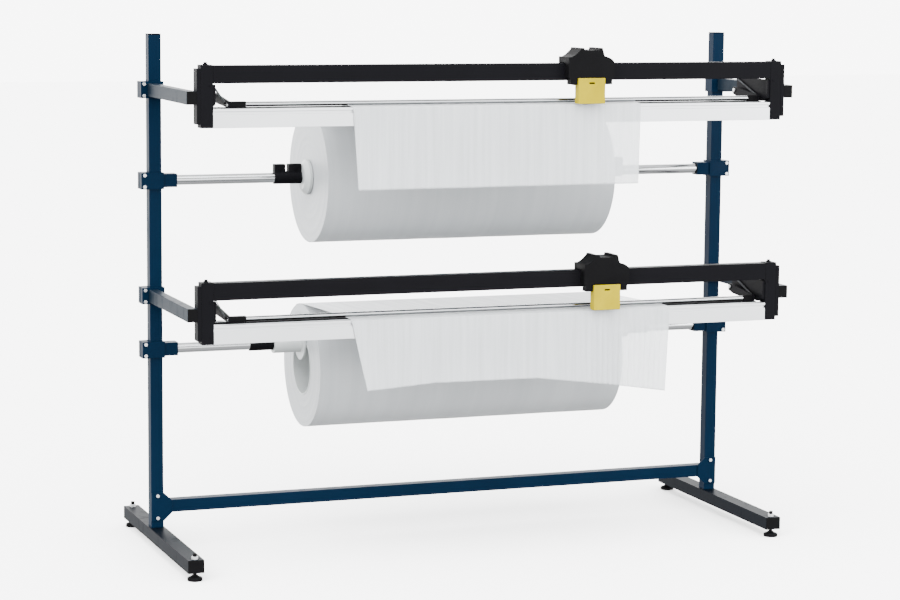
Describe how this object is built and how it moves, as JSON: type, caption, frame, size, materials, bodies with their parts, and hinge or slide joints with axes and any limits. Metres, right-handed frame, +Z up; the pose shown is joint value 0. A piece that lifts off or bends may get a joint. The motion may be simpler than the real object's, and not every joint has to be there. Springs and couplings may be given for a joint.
{
  "type": "film roll dispensing and cutting rack",
  "caption": "Free-standing two-tier rack that carries wide film rolls on shafts, each tier with a cutting table, a sliding cutter on a guide beam and a sprung hold-down rod.",
  "frame": {"origin": "on the floor at the centre of the stand's footprint", "axes": "+X to the right along the rolls, +Y to the back, away from the person pulling film, +Z up"},
  "size_m": [2.042, 0.887, 1.636],
  "materials": {
    "foot_paint": "satin powder coat",
    "navy_paint": "satin powder coat",
    "slate_paint": "satin powder coat",
    "black_paint": "satin powder coat",
    "black_plastic": "moulded, fine texture",
    "yellow_plastic": "semi gloss moulding",
    "glide_plastic": "smooth, low friction",
    "anodised": "clear anodised extrusion",
    "zinc_steel": "bright zinc plate",
    "spring_steel": "black oxide",
    "chrome_steel": "hard chrome, polished",
    "blade_steel": "ground",
    "strip_rubber": "matt",
    "core_plastic": "extruded tube",
    "wound_film": "wound translucent film",
    "film": "thin translucent film"
  },
  "bodies": {
    "stand": {"left_foot_beam": "foot_paint", "right_foot_beam": "foot_paint", "left_upright": "navy_paint", "right_upright": "navy_paint", "brace_tube": "navy_paint", "brace_flanges": "navy_paint", "arm_collars": "navy_paint", "shaft_sockets": "navy_paint", "upper_arms": "slate_paint", "lower_arms": "slate_paint", "side_plates": "black_paint", "upper_end_posts": "black_paint", "lower_end_posts": "black_paint", "upper_guide_beam": "black_paint", "lower_guide_beam": "black_paint", "pivot_brackets": "black_paint", "rail_screws": "black_paint", "foot_end_caps": "black_plastic", "upright_caps": "black_plastic", "arm_end_caps": "black_plastic", "shaft_bushes": "black_plastic", "upper_cutting_table": "anodised", "lower_cutting_table": "anodised", "foot_lock_nuts": "zinc_steel", "brace_bolts": "zinc_steel", "collar_bolts": "zinc_steel", "pivot_pins": "zinc_steel", "clamping_strips": "strip_rubber", "upper_film_sheet": "film", "lower_film_sheet": "film"},
    "upper_roll": {"upper_roll_core": "core_plastic", "upper_film_roll": "wound_film", "upper_shaft": "chrome_steel", "upper_shaft_clamps": "black_paint", "upper_core_cones": "core_plastic"},
    "upper_cutter": {"upper_saddle": "black_plastic", "upper_blade_guard": "yellow_plastic", "upper_blade": "blade_steel", "upper_glides": "glide_plastic"},
    "upper_hold_down": {"upper_hold_down_rod": "chrome_steel", "upper_rod_blocks": "black_plastic", "upper_lever_plates": "black_paint", "upper_springs": "spring_steel"},
    "lower_roll": {"lower_roll_core": "core_plastic", "lower_film_roll": "wound_film"},
    "lower_cutter": {"lower_saddle": "black_plastic", "lower_blade_guard": "yellow_plastic", "lower_blade": "blade_steel", "lower_glides": "glide_plastic"},
    "lower_hold_down": {"lower_hold_down_rod": "chrome_steel", "lower_rod_blocks": "black_plastic", "lower_lever_plates": "black_paint", "lower_springs": "spring_steel"},
    "front_left_foot": {"front_left_levelling_foot": "black_plastic"},
    "front_right_foot": {"front_right_levelling_foot": "black_plastic"},
    "rear_left_foot": {"rear_left_levelling_foot": "black_plastic"},
    "rear_right_foot": {"rear_right_levelling_foot": "black_plastic"},
    "lower_roll_shaft": {"lower_shaft": "chrome_steel", "lower_shaft_clamps": "black_paint", "lower_roll_stops": "core_plastic"}
  },
  "joints": [
    {"name": "upper_roll_turn", "type": "hinge", "parent": "stand", "child": "upper_roll", "pos_m": [0, 0.1015, 1.1765], "axis": [1, 0, 0], "continuous": true},
    {"name": "upper_cutter_slide", "type": "slide", "parent": "stand", "child": "upper_cutter", "axis": [1, 0, 0], "range_m": [-1.109, 0.543]},
    {"name": "upper_hold_down_lift", "type": "hinge", "parent": "stand", "child": "upper_hold_down", "pos_m": [0, -0.1985, 1.457], "axis": [-1, 0, 0], "range_deg": [0, 15], "stiffness_Nm_per_rad": 6, "springref_deg": -17.19, "deforming": ["upper_springs"]},
    {"name": "lower_roll_turn", "type": "hinge", "parent": "stand", "child": "lower_roll", "pos_m": [0, 0.1015, 0.566], "axis": [1, 0, 0], "continuous": true},
    {"name": "lower_cutter_slide", "type": "slide", "parent": "stand", "child": "lower_cutter", "axis": [1, 0, 0], "range_m": [-1.172, 0.48]},
    {"name": "lower_hold_down_lift", "type": "hinge", "parent": "stand", "child": "lower_hold_down", "pos_m": [0, -0.1985, 0.809], "axis": [-1, 0, 0], "range_deg": [0, 15], "stiffness_Nm_per_rad": 6, "springref_deg": -17.19, "deforming": ["lower_springs"]},
    {"name": "lower_shaft_turn", "type": "hinge", "parent": "stand", "child": "lower_roll_shaft", "pos_m": [0, 0.1015, 0.641], "axis": [1, 0, 0], "continuous": true},
    {"name": "front_left_foot_adjust", "type": "slide", "parent": "stand", "child": "front_left_foot", "axis": [0, 0, -1], "range_m": [0, 0.01]},
    {"name": "front_right_foot_adjust", "type": "slide", "parent": "stand", "child": "front_right_foot", "axis": [0, 0, -1], "range_m": [0, 0.01]},
    {"name": "rear_left_foot_adjust", "type": "slide", "parent": "stand", "child": "rear_left_foot", "axis": [0, 0, -1], "range_m": [0, 0.01]},
    {"name": "rear_right_foot_adjust", "type": "slide", "parent": "stand", "child": "rear_right_foot", "axis": [0, 0, -1], "range_m": [0, 0.01]}
  ]
}
